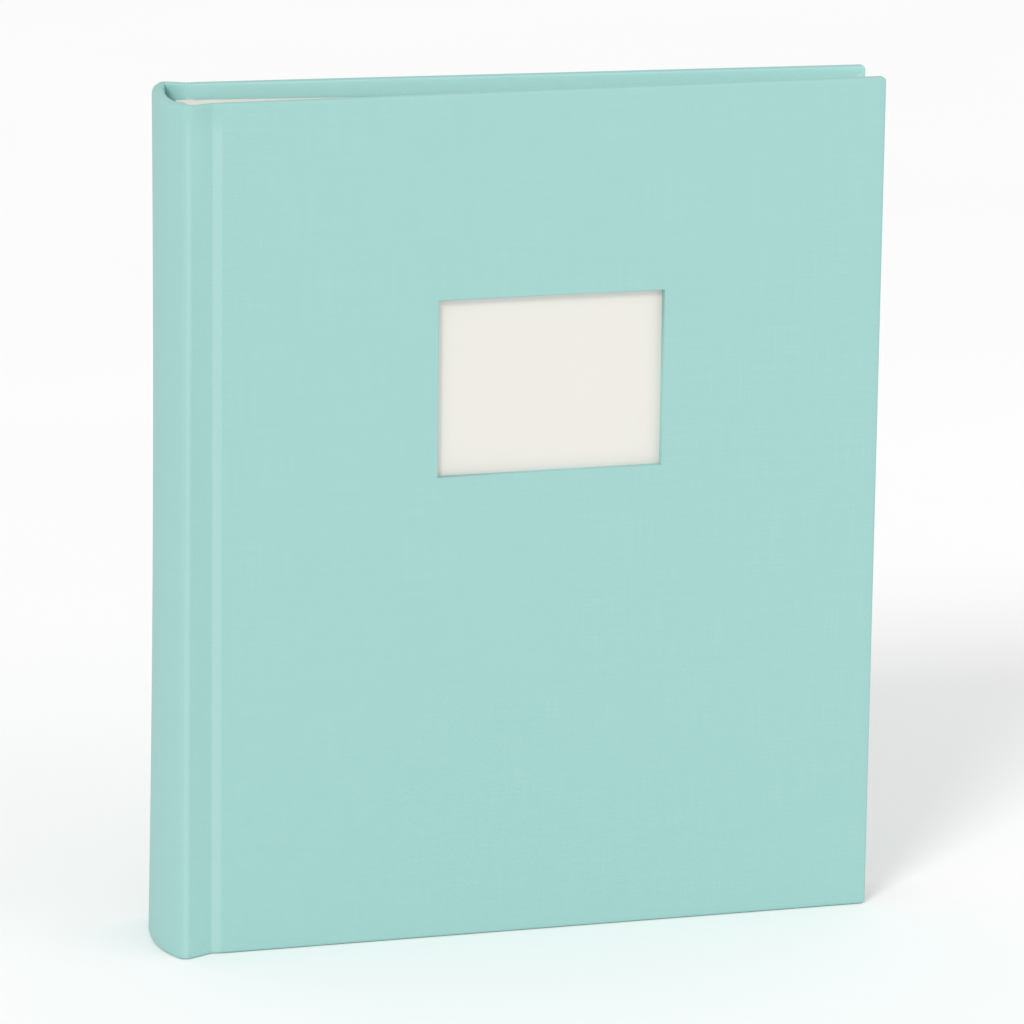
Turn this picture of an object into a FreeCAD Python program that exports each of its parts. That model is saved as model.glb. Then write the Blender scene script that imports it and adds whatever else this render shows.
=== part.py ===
"""Cloth-covered scrapbook album with a window in its front cover, standing on its tail edge.

A hard case (two boards and a rounded spine inlay, covered in book cloth) holds a block of card leaves.
Each leaf has a paper interleaf, and guards thicken the block's back so that pasted-in pictures have room.
The block is thicker at the spine than at the fore-edge, so the two covers lean towards each other.

Frame, in millimetres: +X from the spine to the fore-edge, +Y from the front cover to the back cover, +Z up.
The origin is the middle of the album's footprint, on the surface that it stands on.
"""

import FreeCAD, Part
import math
import os
import re

import Sketcher

DIMENSIONS = {
    # the whole album
    "album_height": 255.0,
    "album_width": 220.0,
    "spine_depth": 15.5,        # from the crown of the spine to the boards' hinge edges
    "thick_hinge": 37.8,        # over both covers, at their hinge edges
    "thick_fore": 23.3,         # over both covers, at the fore-edge
    # the case
    "board_thick": 2.5,
    "cloth_thick": 0.4,
    "paper_thick": 0.2,         # pasted-down and free endpapers
    "turn_in": 15.0,            # cloth folded over onto the inside
    "corner_radius": 1.2,       # at the two corners by the fore-edge
    "bevel_wide": 3.0,          # taken off each board's outer edge at the joint, along the board
    "bevel_deep": 0.6,          # and through its thickness
    "pastedown_margin": 6.0,    # cloth left bare round a pastedown
    "spine_radius": 48.0,
    "shoulder_stand": 3.3,      # how far the spine's shoulders stand out past the covers
    "shoulder_radius": 2.6,
    "inlay_thick": 2.5,
    "groove_width": 0.8,        # from the bottom of the joint groove to the board's edge
    "groove_depth": 0.6,
    # the window in the front cover
    "window_wide": 69.0,
    "window_high": 53.0,
    "window_centre": 167.6,     # height of its middle
    "card_thick": 0.5,
    "card_margin": 9.0,
    # the block
    "square": 4.7,              # how far the covers stand out past the leaves
    "block_setback": 4.0,       # from the boards' hinge edges back to the block's back
    "guard_depth": 12.0,
    "flex_width": 22.0,         # the part of a leaf that bends, next to its guard
    "leaf_thick": 0.3,
    "interleaf_thick": 0.03,
    "interleaf_inset": 3.0,
    "interleaf_gap": 0.02,
    "guard_thick": 0.34,
    "mull_thick": 0.3,
    "lining_thick": 0.5,
    "cover_gap": 0.25,          # between a cover and its free endpaper
    "fly_gap": 0.15,            # between a free endpaper and the leaf beside it
    "seam_gap": 0.2,            # between pieces that are one sheet of paper or cloth, cut at a fold
}
LEAVES = 40
FRONT, BACK = -1, 1             # the side of the middle plane that a cover is on

doc = FreeCAD.newDocument("album")
sheet = doc.addObject("Spreadsheet::Sheet", "dims")
for row, (alias, value) in enumerate(DIMENSIONS.items(), start=1):
    sheet.set(f"A{row}", alias)
    sheet.set(f"B{row}", str(value))
    sheet.setAlias(f"B{row}", alias)
doc.recompute()

ALIAS = re.compile(r"\b(" + "|".join(DIMENSIONS) + r")\b")
parts = []


def bind(obj, prop, formula):
    """Binds a property to a formula of the sheet's aliases."""
    obj.setExpression(prop, ALIAS.sub(r"dims.\1", formula))


def size(alias):
    return float(getattr(sheet, alias))


def angle(tangent):
    """A formula for the angle, in degrees, that has this tangent."""
    return f"atan({tangent}) / 1 deg"


# Formulas that more than one piece uses.
HINGE_X = "(spine_depth - album_width / 2)"
COVER_RUN = "(album_width - spine_depth)"
LEAN = f"((thick_hinge - thick_fore) / 2 / {COVER_RUN})"      # tangent of a cover's lean
COVER_LENGTH = f"({COVER_RUN} * sqrt(1 + {LEAN} * {LEAN}))"
STACK = "(2 * cloth_thick + board_thick + paper_thick)"       # a cover's thickness at its margins
BOARD_IN = "(cloth_thick + board_thick)"                      # depth of a board's inner face
BLOCK_X = f"({HINGE_X} - block_setback)"
GUARD_END_X = f"({BLOCK_X} + guard_depth)"
LEAF_X = f"({GUARD_END_X} + flex_width)"
FORE_X = "(album_width / 2 - square)"
LEAF_HIGH = "(album_height - 2 * square)"
FLY_ROOM = "(cover_gap + paper_thick + fly_gap)"


def inner_half(x):
    """Half the space between the covers at x."""
    lean = LEAN
    return f"(thick_hinge / 2 - ({x} - {HINGE_X}) * {lean} - {STACK} * sqrt(1 + {lean} * {lean}))"


def keep(obj, label):
    """Lists an object as a sub-part, under the name that its file takes."""
    obj.Label = label
    parts.append(obj)
    return obj


def new_body(label):
    return keep(doc.addObject("PartDesign::Body", "Body_" + label), label)


def origin_plane(body, role):
    return next(f for f in body.Origin.OriginFeatures if f.Role == role)


def polygon_sketch(body, name, role, loops, offset="0"):
    """A sketch of closed loops, each a list of (across, up) formulas for its corners."""
    sketch = body.newObject("Sketcher::SketchObject", name)
    sketch.AttachmentSupport = [(origin_plane(body, role), "")]
    sketch.MapMode = "FlatFace"
    bind(sketch, "AttachmentOffset.Base.z", offset)
    for loop in loops:
        first = sketch.GeometryCount
        rough = [(10.0 * i, 7.0 * (i % 3)) for i in range(len(loop))]
        for i, (u, w) in enumerate(rough):
            u2, w2 = rough[(i + 1) % len(loop)]
            line = Part.LineSegment(FreeCAD.Vector(u, w, 0), FreeCAD.Vector(u2, w2, 0))
            sketch.addGeometry(line, False)
        for i in range(len(loop)):
            after = first + (i + 1) % len(loop)
            sketch.addConstraint(Sketcher.Constraint("Coincident", first + i, 2, after, 1))
        for i, (across, up) in enumerate(loop):
            for kind, formula, rough_value in (
                ("DistanceX", across, rough[i][0]),
                ("DistanceY", up, rough[i][1]),
            ):
                index = sketch.addConstraint(
                    Sketcher.Constraint(kind, -1, 1, first + i, 1, rough_value)
                )
                bind(sketch, f"Constraints[{index}]", formula)
    return sketch


def rectangle(u0, w0, u1, w1):
    return [(u0, w0), (u1, w0), (u1, w1), (u0, w1)]


def cover_sketch(body, name, side, depth, loops):
    """A sketch in a cover's own plane, at this depth in from its outer face."""
    return polygon_sketch(body, name, "XZ_Plane", loops, f"{side} * ({depth})")


def cover_pad(body, name, side, depth, thick, loops):
    """Adds a layer to a cover piece: depth is from the outer face, and thick goes inwards."""
    pad = body.newObject("PartDesign::Pad", name)
    pad.Profile = cover_sketch(body, name + "_sketch", side, depth, loops)
    bind(pad, "Length", thick)
    pad.Reversed = side == FRONT
    doc.recompute()
    return pad


def cover_pocket(body, name, side, depth, thick, loops):
    """Cuts a layer out of a cover piece, from this depth inwards."""
    before = body.Shape.Volume
    pocket = body.newObject("PartDesign::Pocket", name)
    pocket.Profile = cover_sketch(body, name + "_sketch", side, depth, loops)
    bind(pocket, "Length", thick)
    pocket.Reversed = side == BACK
    doc.recompute()
    if body.Shape.Volume >= before:
        raise RuntimeError(f"{name} cut nothing")
    return pocket


def place_cover_piece(obj, side):
    """Leans a cover piece, drawn with its hinge edge on the Z axis and its outer face on the XZ plane."""
    obj.Placement.Rotation = FreeCAD.Rotation(FreeCAD.Vector(0, 0, 1), 1)
    bind(obj, "Placement.Base.x", HINGE_X)
    bind(obj, "Placement.Base.y", f"{side} * thick_hinge / 2")
    bind(obj, "Placement.Rotation.Angle", f"{-side} * {angle(LEAN)}")


def round_corners(body, name, inset, radius):
    """Rounds the two fore-edge corners of a cover piece, this far in from its outline."""
    fine = size("cloth_thick") / 4
    outline = body.Shape.BoundBox
    fore = outline.XMax - inset
    heights = (outline.ZMin + inset, outline.ZMax - inset)

    def at_corner(edge):
        box, middle = edge.BoundBox, edge.CenterOfMass
        on_corner = abs(middle.x - fore) < fine and min(abs(middle.z - h) for h in heights) < fine
        return on_corner and box.XLength < fine and box.ZLength < fine

    found = [f"Edge{i}" for i, edge in enumerate(body.Shape.Edges, start=1) if at_corner(edge)]
    if len(found) != len(heights):
        raise RuntimeError(f"{name} found {len(found)} edges")
    base = body.Tip
    fillet = body.newObject("PartDesign::Fillet", name)
    fillet.Base = (base, found)
    bind(fillet, "Radius", radius)
    doc.recompute()


def joint_wedge(body, kind, name, side, inset, wide, deep):
    """Cuts away or fills in a wedge along a cover piece's upright edge at the joint.

    Its corner is this far in from the cover's outer corner; it is wide along the cover and deep through it.
    """
    before = body.Shape.Volume
    wedge = body.newObject(kind, name)
    corners = [(inset, inset), (f"{inset} + {wide}", inset), (inset, f"{inset} + {deep}")]
    loop = [(along, f"{-side} * ({depth})") for along, depth in corners]
    wedge.Profile = polygon_sketch(body, name + "_sketch", "XY_Plane", [loop], inset)
    bind(wedge, "Length", f"album_height - 2 * {inset}")
    wedge.Reversed = kind == "PartDesign::Pocket"
    doc.recompute()
    if (body.Shape.Volume < before) != (kind == "PartDesign::Pocket"):
        raise RuntimeError(f"{name} did nothing")


WINDOW_U = f"({COVER_LENGTH} / 2)"


def window_rectangle(grow):
    """The window's outline, this much larger all round."""
    wide, high = f"(window_wide / 2 + {grow})", f"(window_high / 2 + {grow})"
    return rectangle(
        f"{WINDOW_U} - {wide}", f"window_centre - {high}",
        f"{WINDOW_U} + {wide}", f"window_centre + {high}",
    )


# ------------------------------------------------------------------ covers

BOARD_OUTLINE = rectangle(
    "cloth_thick", "cloth_thick", f"{COVER_LENGTH} - cloth_thick", "album_height - cloth_thick"
)
COVER_OUTLINE = rectangle("0", "0", COVER_LENGTH, "album_height")
# The cloth's bevel lies one thickness of cloth outside the board's, and this is how much of both its
# sides that takes up.
BEVEL_SLANT = "sqrt(bevel_wide * bevel_wide + bevel_deep * bevel_deep)"
CLOTH_BEVEL = (
    f"(cloth_thick + bevel_wide + cloth_thick * (bevel_wide - {BEVEL_SLANT}) / bevel_deep)",
    f"(cloth_thick + bevel_deep + cloth_thick * (bevel_deep - {BEVEL_SLANT}) / bevel_wide)",
)


def make_board(label, side, with_window):
    """Greyboard. The front one has the window, and a rebate behind it that holds the window's card."""
    body = new_body(label)
    cover_pad(body, label + "_slab", side, "cloth_thick", "board_thick", [BOARD_OUTLINE])
    if with_window:
        cover_pocket(
            body, label + "_window", side, "cloth_thick", "board_thick", [window_rectangle("cloth_thick")]
        )
        cover_pocket(
            body, label + "_rebate", side, f"{BOARD_IN} - card_thick", "card_thick",
            [window_rectangle("card_margin")],
        )
    board_bevel = ("cloth_thick", "bevel_wide", "bevel_deep")
    joint_wedge(body, "PartDesign::Pocket", label + "_bevel", side, *board_bevel)
    round_corners(body, label + "_corners", 0.0, "corner_radius - cloth_thick")
    place_cover_piece(body, side)


def make_cover_cloth(label, side, with_window):
    """Book cloth round a board: outer skin, wrapped edges, and turn-ins on three sides inside."""
    body = new_body(label)
    skin = [COVER_OUTLINE] + ([window_rectangle("0")] if with_window else [])
    cover_pad(body, label + "_skin", side, "0", "cloth_thick", skin)
    cover_pad(
        body, label + "_edges", side, "cloth_thick", "board_thick", [COVER_OUTLINE, BOARD_OUTLINE]
    )
    inside_u = f"{COVER_LENGTH} - turn_in"
    turned = [
        ("0", "0"), (COVER_LENGTH, "0"), (COVER_LENGTH, "album_height"), ("0", "album_height"),
        ("0", "album_height - turn_in"), (inside_u, "album_height - turn_in"),
        (inside_u, "turn_in"), ("0", "turn_in"),
    ]
    cover_pad(body, label + "_turn_in", side, BOARD_IN, "cloth_thick", [turned])
    if with_window:
        cover_pad(
            body, label + "_window_wall", side, "cloth_thick", "board_thick - card_thick",
            [window_rectangle("cloth_thick"), window_rectangle("0")],
        )
    joint_wedge(body, "PartDesign::Pad", label + "_fill", side, "cloth_thick", "bevel_wide", "bevel_deep")
    joint_wedge(body, "PartDesign::Pocket", label + "_bevel", side, "0", *CLOTH_BEVEL)
    round_corners(body, label + "_outer_corners", 0.0, "corner_radius")
    round_corners(body, label + "_inner_corners", size("cloth_thick"), "corner_radius - cloth_thick")
    place_cover_piece(body, side)


def make_pastedown(label, side):
    """Endpaper pasted to a cover's inner face: it fills in between the turn-ins and laps over them."""
    body = new_body(label)
    fill = rectangle(
        "seam_gap", "turn_in + seam_gap",
        f"{COVER_LENGTH} - turn_in - seam_gap", "album_height - turn_in - seam_gap",
    )
    lap = rectangle(
        "seam_gap", "pastedown_margin",
        f"{COVER_LENGTH} - pastedown_margin", "album_height - pastedown_margin",
    )
    cover_pad(body, label + "_fill", side, BOARD_IN, "cloth_thick", [fill])
    cover_pad(body, label + "_lap", side, f"{BOARD_IN} + cloth_thick", "paper_thick", [lap])
    place_cover_piece(body, side)


def make_window_card(label, side):
    """The pale card behind the window, where a picture or a title is pasted."""
    body = new_body(label)
    cover_pad(
        body, label + "_plate", side, f"{BOARD_IN} - card_thick", "card_thick",
        [window_rectangle("card_margin - seam_gap")],
    )
    place_cover_piece(body, side)


make_board("front_board", FRONT, True)
make_board("back_board", BACK, False)
make_cover_cloth("front_cloth", FRONT, True)
make_cover_cloth("back_cloth", BACK, False)
make_pastedown("front_pastedown", FRONT)
make_pastedown("back_pastedown", BACK)
make_window_card("window_card", FRONT)


# ------------------------------------------------------------------ spine

def spine_centre():
    return FreeCAD.Vector(size("spine_radius") - size("album_width") / 2, 0, 0)


def shoulder_y():
    """Half the distance between the middles of the shoulders' rounds."""
    return size("thick_hinge") / 2 + size("shoulder_stand") - size("shoulder_radius")


def arc_band(outer_radius, inner_radius, half):
    """A face in the XY plane between two arcs about the spine's centre; its ends point at that centre."""
    centre = spine_centre()
    edges = []
    ends = []
    for radius in (outer_radius, inner_radius):
        half_angle = math.asin(half / outer_radius)
        low, crown, high = (
            centre + FreeCAD.Vector(-radius * math.cos(a), radius * math.sin(a), 0)
            for a in (-half_angle, 0.0, half_angle)
        )
        edges.append(Part.Arc(low, crown, high).toShape())
        ends.append((low, high))
    for i in (0, 1):
        edges.append(Part.LineSegment(ends[0][i], ends[1][i]).toShape())
    return Part.Face(Part.Wire(Part.__sortEdges__(edges)))


def upright(face, low, high):
    """Stands a face of the XY plane up from one height to another."""
    raised = face.copy()
    raised.translate(FreeCAD.Vector(0, 0, low))
    return raised.extrude(FreeCAD.Vector(0, 0, high - low))


def make_spine_inlay(label):
    """The stiff card that rounds the spine, between the cloth and its turn-ins."""
    cloth = size("cloth_thick")
    outer = size("spine_radius") - cloth
    band = arc_band(outer, outer - size("inlay_thick"), shoulder_y())
    feature = keep(doc.addObject("Part::Feature", "Feature_" + label), label)
    feature.Shape = upright(band, cloth, size("album_height") - cloth)


def skin_edges(inset):
    """The spine cloth's section, this far in from its outer face: flap, shoulder, crown, shoulder, flap."""
    centre = spine_centre()
    radius = size("spine_radius")
    round_radius = size("shoulder_radius")
    shoulder_x = centre.x - math.sqrt((radius - round_radius) ** 2 - shoulder_y() ** 2)
    shoulder = FreeCAD.Vector(shoulder_x, shoulder_y(), 0)
    hinge_x = size("spine_depth") - size("album_width") / 2
    groove = FreeCAD.Vector(
        hinge_x - size("groove_width"), size("thick_hinge") / 2 - size("groove_depth"), 0
    )
    # the flap is the straight line from the groove that touches the shoulder's round
    to_shoulder = shoulder - groove
    flap_angle = math.atan2(to_shoulder.y, to_shoulder.x) - math.asin(round_radius / to_shoulder.Length)
    along = FreeCAD.Vector(math.cos(flap_angle), math.sin(flap_angle), 0)
    outward = FreeCAD.Vector(along.y, -along.x, 0)
    crown_end = (shoulder - centre).normalize()
    middle = (crown_end + outward).normalize()
    flap_far = groove - outward * inset
    flap_near = shoulder + outward * (round_radius - inset)
    round_mid = shoulder + middle * (round_radius - inset)
    crown_side = shoulder + crown_end * (round_radius - inset)
    crown = centre + FreeCAD.Vector(inset - radius, 0, 0)
    between = centre + (crown_end + FreeCAD.Vector(-1, 0, 0)).normalize() * (radius - inset)

    def flip(point):
        return FreeCAD.Vector(point.x, -point.y, 0)

    edges = [
        Part.LineSegment(flap_far, flap_near).toShape(),
        Part.Arc(flap_near, round_mid, crown_side).toShape(),
        Part.Arc(crown_side, between, crown).toShape(),
        Part.Arc(crown, flip(between), flip(crown_side)).toShape(),
        Part.Arc(flip(crown_side), flip(round_mid), flip(flap_near)).toShape(),
        Part.LineSegment(flip(flap_near), flip(flap_far)).toShape(),
    ]
    return edges, flap_far, flip(flap_far)


def make_spine_cloth(label):
    """Book cloth over the spine and its joints, turned in round the inlay at head and tail."""
    cloth = size("cloth_thick")
    high = size("album_height")
    outer, outer_start, outer_end = skin_edges(0.0)
    inner, inner_start, inner_end = skin_edges(cloth)
    ends = [
        Part.LineSegment(outer_start, inner_start).toShape(),
        Part.LineSegment(outer_end, inner_end).toShape(),
    ]
    skin = Part.Face(Part.Wire(Part.__sortEdges__(outer + inner + ends)))
    inlay_outer = size("spine_radius") - cloth
    inlay_inner = inlay_outer - size("inlay_thick")
    half = shoulder_y()
    cap = arc_band(inlay_outer, inlay_inner - cloth, half)
    turned = arc_band(inlay_inner, inlay_inner - cloth, half * inlay_inner / inlay_outer)
    turn_in = size("turn_in")
    pieces = [
        upright(cap, 0, cloth),
        upright(cap, high - cloth, high),
        upright(turned, 0, turn_in),
        upright(turned, high - turn_in, high),
    ]
    feature = keep(doc.addObject("Part::Feature", "Feature_" + label), label)
    feature.Shape = upright(skin, 0, high).fuse(pieces).removeSplitter()


make_spine_inlay("spine_inlay")
make_spine_cloth("spine_cloth")


# ------------------------------------------------------------------ block


def make_box(name, length, thick, high):
    box = doc.addObject("Part::Box", name)
    bind(box, "Length", length)
    bind(box, "Width", thick)
    bind(box, "Height", high)
    return box


def stand_sheet(box, x, y, tangent, thick, z):
    """Stands a thin box on its edge: its middle plane starts at x, y and runs on at this slope."""
    box.Placement.Rotation = FreeCAD.Rotation(FreeCAD.Vector(0, 0, 1), 1)
    root = f"sqrt(1 + ({tangent}) * ({tangent}))"
    bind(box, "Placement.Base.x", f"{x} + ({thick}) / 2 * ({tangent}) / {root}")
    bind(box, "Placement.Base.y", f"{y} - ({thick}) / 2 / {root}")
    bind(box, "Placement.Base.z", z)
    bind(box, "Placement.Rotation.Angle", angle(tangent))


def group(label, members):
    compound = keep(doc.addObject("Part::Compound", "Group_" + label), label)
    compound.Links = members


LEAF_HALF_START = f"({inner_half(LEAF_X)} - {FLY_ROOM})"
LEAF_HALF_FORE = f"({inner_half(FORE_X)} - {FLY_ROOM})"
LEAF_RUN = f"({FORE_X} - {LEAF_X})"


def leaf_share(number):
    """Where a leaf lies across the block: -1 at the front cover, 1 at the back cover."""
    return (2 * number - 1) / LEAVES - 1


def block_tangent(share):
    return f"({share} * ({LEAF_HALF_FORE} - {LEAF_HALF_START}) / {LEAF_RUN})"


def block_y(share, x):
    """The height across the block at x of a sheet with this share."""
    return f"({share} * {LEAF_HALF_START} + ({x} - {LEAF_X}) * {block_tangent(share)})"


def slanted(run, tangent):
    """The length of a sheet that covers this run along X at this slope."""
    return f"({run}) * sqrt(1 + ({tangent}) * ({tangent}))"


def make_leaf(number):
    """A card leaf from where it bends to the fore-edge, and the thin interleaf behind it."""
    share = leaf_share(number)
    tangent = block_tangent(share)
    label = f"leaf_{number:02d}"
    card = make_box(label + "_card", slanted(LEAF_RUN, tangent), "leaf_thick", LEAF_HIGH)
    stand_sheet(card, LEAF_X, block_y(share, LEAF_X), tangent, "leaf_thick", "square")
    paper = make_box(
        label + "_interleaf",
        slanted(f"{LEAF_RUN} - interleaf_inset", tangent),
        "interleaf_thick",
        f"{LEAF_HIGH} - 2 * interleaf_inset",
    )
    behind = f"(leaf_thick / 2 + interleaf_gap + interleaf_thick / 2)"
    stand_sheet(
        paper, LEAF_X, f"{block_y(share, LEAF_X)} + {behind}", tangent, "interleaf_thick",
        "square + interleaf_inset",
    )
    group(label, [card, paper])


def make_leaf_margins():
    """Each leaf's bound edge and the strip that bends when it is turned."""
    strips = []
    for number in range(1, LEAVES + 1):
        share = leaf_share(number)
        tangent = block_tangent(share)
        run = f"{LEAF_X} - {BLOCK_X} - seam_gap"
        strip = make_box(f"margin_{number:02d}", slanted(run, tangent), "leaf_thick", LEAF_HIGH)
        stand_sheet(strip, BLOCK_X, block_y(share, BLOCK_X), tangent, "leaf_thick", "square")
        strips.append(strip)
    group("leaf_margins", strips)


def make_guards():
    """Card strips between the bound edges, which keep the block thick at the spine."""
    strips = []
    for number in range(1, LEAVES):
        share = (leaf_share(number) + leaf_share(number + 1)) / 2
        tangent = block_tangent(share)
        strip = make_box(f"guard_{number:02d}", "guard_depth", "guard_thick", LEAF_HIGH)
        stand_sheet(strip, BLOCK_X, block_y(share, BLOCK_X), tangent, "guard_thick", "square")
        strips.append(strip)
    group("guards", strips)


def make_flyleaf(name, side):
    """A free endpaper beside its cover, and the margin that tips it to the block."""
    tangent = f"({-side} * {LEAN})"
    depth = "(cover_gap + paper_thick / 2)"
    label = name + "_flyleaf"
    for piece, x0, x1 in (
        (label, LEAF_X, FORE_X),
        (label + "_margin", f"{BLOCK_X}", f"({LEAF_X} - seam_gap)"),
    ):
        box = make_box("Box_" + piece, slanted(f"{x1} - {x0}", tangent), "paper_thick", LEAF_HIGH)
        stand_sheet(box, x0, f"{side} * ({inner_half(x0)} - {depth})", tangent, "paper_thick", "square")
        keep(box, piece)


def make_back_strip(label, offset, thick):
    """A strip glued down the block's back."""
    half = f"({block_y(1, BLOCK_X)})"
    strip = make_box("Box_" + label, thick, f"2 * {half}", LEAF_HIGH)
    bind(strip, "Placement.Base.x", f"{BLOCK_X} - {offset} - {thick}")
    bind(strip, "Placement.Base.y", f"-{half}")
    bind(strip, "Placement.Base.z", "square")
    keep(strip, label)


make_flyleaf("front", FRONT)
make_flyleaf("back", BACK)
make_back_strip("spine_mull", "seam_gap / 4", "mull_thick")
make_back_strip("spine_lining", "(mull_thick + seam_gap / 2)", "lining_thick")
make_guards()
make_leaf_margins()
for leaf_number in range(1, LEAVES + 1):
    make_leaf(leaf_number)


# ------------------------------------------------------------------ checks and files

doc.recompute()
for obj in doc.Objects:
    if "Invalid" in obj.State or "Error" in obj.State:
        raise RuntimeError(f"{obj.Label} failed: {obj.State}")
os.makedirs("parts", exist_ok=True)
for obj in parts:
    shape = obj.Shape
    if shape.isNull() or not shape.isValid() or not shape.Solids:
        raise RuntimeError(f"{obj.Label} has no valid solid")
    shape.exportStep(f"parts/{obj.Label}.step")
print(f"wrote {len(parts)} sub-parts")
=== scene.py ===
import math
from collections import namedtuple

import bmesh
import bpy
from bpy.props import FloatProperty, FloatVectorProperty, IntProperty, PointerProperty
from mathutils import Matrix, Vector
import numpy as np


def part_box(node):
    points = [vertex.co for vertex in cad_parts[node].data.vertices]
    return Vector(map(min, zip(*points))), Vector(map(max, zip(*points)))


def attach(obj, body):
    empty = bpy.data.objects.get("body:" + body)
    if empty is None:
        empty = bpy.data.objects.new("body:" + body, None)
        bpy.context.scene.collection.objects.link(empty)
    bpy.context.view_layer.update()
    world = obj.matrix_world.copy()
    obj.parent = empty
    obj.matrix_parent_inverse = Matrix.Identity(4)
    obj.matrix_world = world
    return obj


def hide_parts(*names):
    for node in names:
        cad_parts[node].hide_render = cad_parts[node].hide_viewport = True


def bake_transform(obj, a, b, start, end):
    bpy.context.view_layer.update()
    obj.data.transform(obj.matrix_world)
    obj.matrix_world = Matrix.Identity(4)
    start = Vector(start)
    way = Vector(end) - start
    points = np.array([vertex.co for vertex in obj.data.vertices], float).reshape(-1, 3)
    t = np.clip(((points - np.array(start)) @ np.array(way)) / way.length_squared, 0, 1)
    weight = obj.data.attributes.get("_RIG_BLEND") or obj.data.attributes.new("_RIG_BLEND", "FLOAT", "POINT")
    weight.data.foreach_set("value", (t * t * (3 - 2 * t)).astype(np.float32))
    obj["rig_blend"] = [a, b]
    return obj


bl_info = {
    "name": "Scrapbook album",
    "version": (1, 0, 0),
    "blender": (4, 5, 0),
    "location": "3D View > Sidebar > Album",
    "description": "Covers, papers and finishes for a cloth-bound scrapbook album",
    "category": "Object",
}

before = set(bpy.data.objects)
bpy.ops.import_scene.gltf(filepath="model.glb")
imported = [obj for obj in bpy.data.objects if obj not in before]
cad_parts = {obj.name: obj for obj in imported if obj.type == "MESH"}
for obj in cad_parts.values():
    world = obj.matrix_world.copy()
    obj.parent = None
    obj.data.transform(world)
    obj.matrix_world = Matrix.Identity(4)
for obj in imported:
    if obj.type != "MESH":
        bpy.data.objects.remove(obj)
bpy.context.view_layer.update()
MM = 0.001
LEAF_NAMES = sorted(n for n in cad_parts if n.startswith("leaf_") and n != "leaf_margins")

# How far apart the cloth's threads and the gauze's are; the slanting look has its own pitch and turn.
WARP_PITCH, WEFT_PITCH, SLANT_PITCH, GAUZE_PITCH = 0.46 * MM, 0.52 * MM, 0.60 * MM, 1.1 * MM
SLANT_TURN = math.radians(-47.0)
SLANT_SHARE = 0.75               # how much of the weave's look is slanting
INSIDE_UV = 1.0                  # how far up its map the cloth turned in lies
INSIDE_DEPTH = 1.5 * MM          # cloth deeper than this in its cover is turned in
SPINE_RUN = 31.0 * MM            # cloth from the board's edge to the middle of the spine
BANDS = 12                       # up the spine's height
FLAP_STEPS, SHOULDER_STEPS, CROWN_STEPS = 7, 8, 14
MITRE_HALF, MITRE_DEPTH = 0.35 * MM, 0.16 * MM

# Where the spine's cloth changes its shape: all of the change at the first place, none at the second.
# All but the last are measured along the cloth from the spine's middle, the last from front to back.
ROUNDED = (18.0 * MM, 27.0 * MM)
SUNK = (20.0 * MM, 31.0 * MM)
RISEN = (14.0 * MM, 24.0 * MM)
PULLED = (20.0 * MM, 12.0 * MM)
BEHIND = (6.0 * MM, -14.0 * MM)
FRONT_SHARE = 0.5                # how much of it the front half sinks at the top

# The cloth bends between these distances from the cover's hinge edge.
JOINT_BEND = (8.0 * MM, 0.2 * MM)
# The endpaper's fold: along the cover and further in; then from the margin's edge, along and further in.
FOLD_ON_COVER = ((1.5 * MM, 0.0), (0.0, 0.0), (-1.6 * MM, 0.10 * MM))
FOLD_ON_BLOCK = ((1.2 * MM, -2.4 * MM, 0.35 * MM), (-0.1 * MM, -3.0 * MM, 0.75 * MM))

AIM = Vector((0.0, 0.0, 130.0 * MM))    # the middle of the album, which the lamps point at

# A band along the cloth where light is painted: where it lies, its half width, its strength and its painted
# colour.
Fold = namedtuple("Fold", "middle half amount tint")


# ------------------------------------------------------------------ settings

def length(name, description, default):
    return FloatProperty(
        name=name, description=description, default=default, unit="LENGTH", precision=5
    )


def colour(name, description, default):
    return FloatVectorProperty(
        name=name, description=description, default=default, size=3, min=0.0, max=1.0, subtype="COLOR"
    )


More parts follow.
